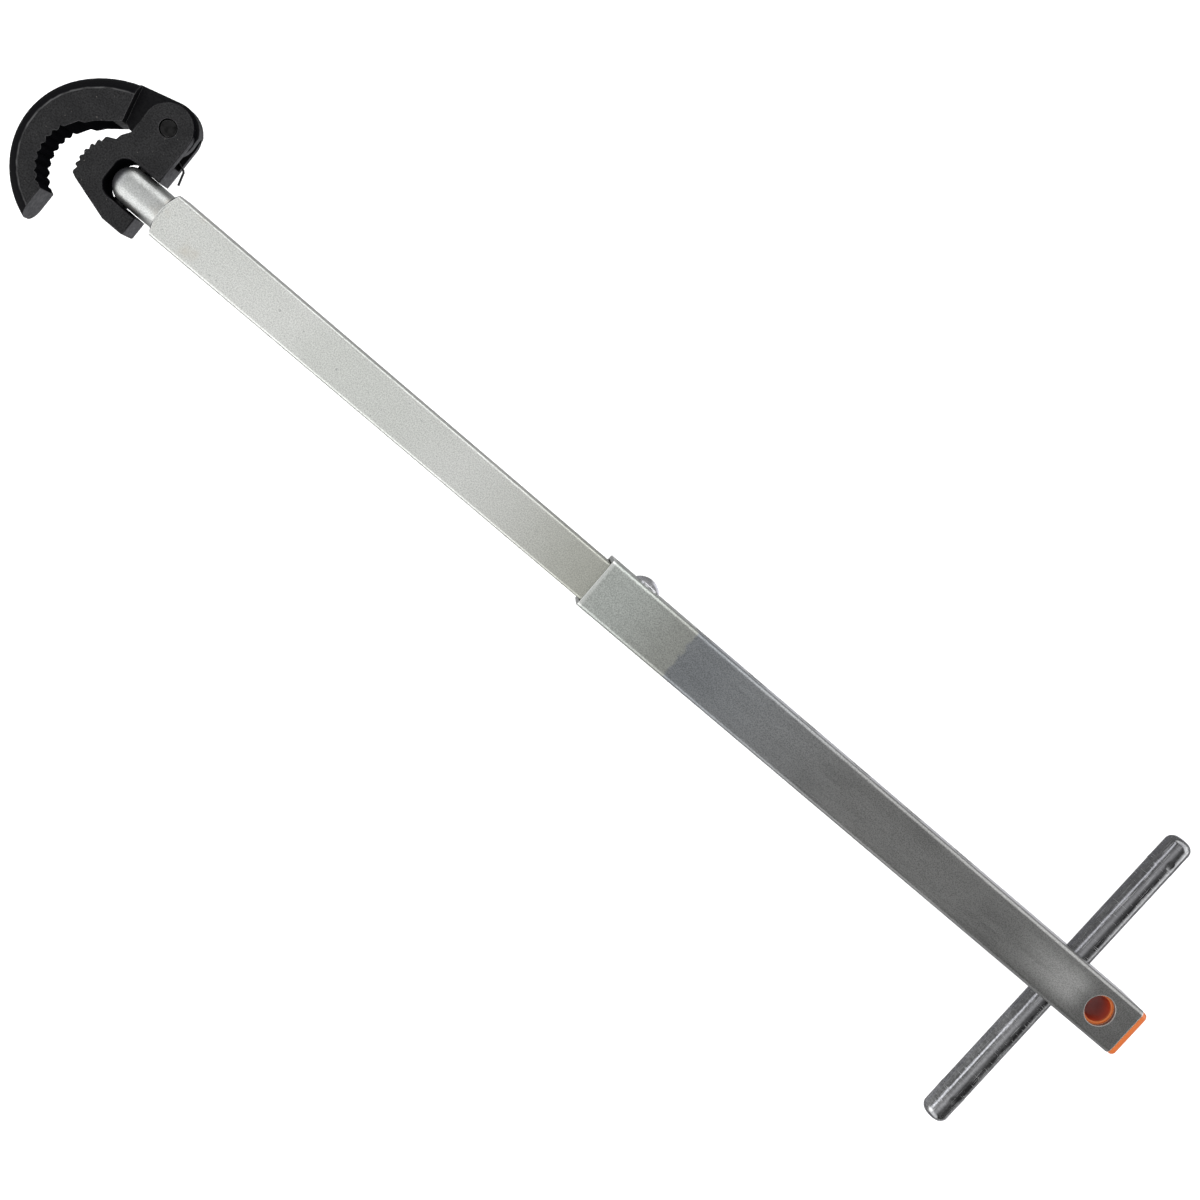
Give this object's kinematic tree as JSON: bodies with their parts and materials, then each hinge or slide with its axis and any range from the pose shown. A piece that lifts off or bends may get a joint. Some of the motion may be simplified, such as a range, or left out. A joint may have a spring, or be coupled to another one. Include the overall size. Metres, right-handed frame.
{
  "type": "basin wrench",
  "caption": "Telescoping basin wrench: square handle tube with sliding tee bar and end cap, sliding square shank, swivelling head with toothed heel jaw and spring hook.",
  "frame": {"origin": "centre of the orange end cap's outer face, on the axis of the shank", "axes": "+X along the shank from the butt to the head, +Z the front face, +Y from the hook's pivot towards the open end of the mouth; the tool lies on its back, extended, with the head in line with the shank"},
  "size_m": [0.4922, 0.1367, 0.02],
  "materials": {
    "tube_steel": "zinc plated, satin",
    "plug_plastic": "moulded, soft sheen",
    "tee_steel": "bright, lightly scratched",
    "bar_zinc": "zinc plated, finely mottled",
    "button_steel": "polished",
    "spring_steel": "dark spring wire",
    "jaw_black": "black, matte, fine grain",
    "hook_black": "black, matte, fine grain",
    "pin_steel": "dark, slightly polished"
  },
  "bodies": {
    "handle": {"outer_tube": "tube_steel", "end_plug": "plug_plastic"},
    "tee": {"tee_bar": "tee_steel"},
    "shank": {"shank_bar": "bar_zinc", "detent_spring": "spring_steel"},
    "button": {"detent_button": "button_steel"},
    "heel": {"heel_jaw": "jaw_black", "swivel_pin": "pin_steel", "pivot_pin": "pin_steel", "jaw_spring": "spring_steel"},
    "hook": {"hook_jaw": "hook_black"}
  },
  "joints": [
    {"name": "telescope_slide", "type": "slide", "parent": "handle", "child": "shank", "axis": [1, 0, 0], "range_m": [-0.15, 0]},
    {"name": "button_press", "type": "slide", "parent": "shank", "child": "button", "axis": [0, 1, 0], "range_m": [0, 0.0044], "stiffness_N_per_m": 400, "springref_m": -0.008, "deforming": ["detent_spring"]},
    {"name": "head_swivel", "type": "hinge", "parent": "shank", "child": "heel", "pos_m": [0.4533, 0, 0], "axis": [0, 1, 0], "range_deg": [-90, 90]},
    {"name": "hook_pivot", "type": "hinge", "parent": "heel", "child": "hook", "pos_m": [0.4545, -0.0221, 0], "axis": [0, 0, 1], "range_deg": [-48, 0], "stiffness_Nm_per_rad": 0.08, "springref_deg": 34.38, "deforming": ["jaw_spring"]},
    {"name": "tee_bar_slide", "type": "slide", "parent": "handle", "child": "tee", "axis": [0, 1, 0], "range_m": [-0.0473, 0.0428]}
  ]
}
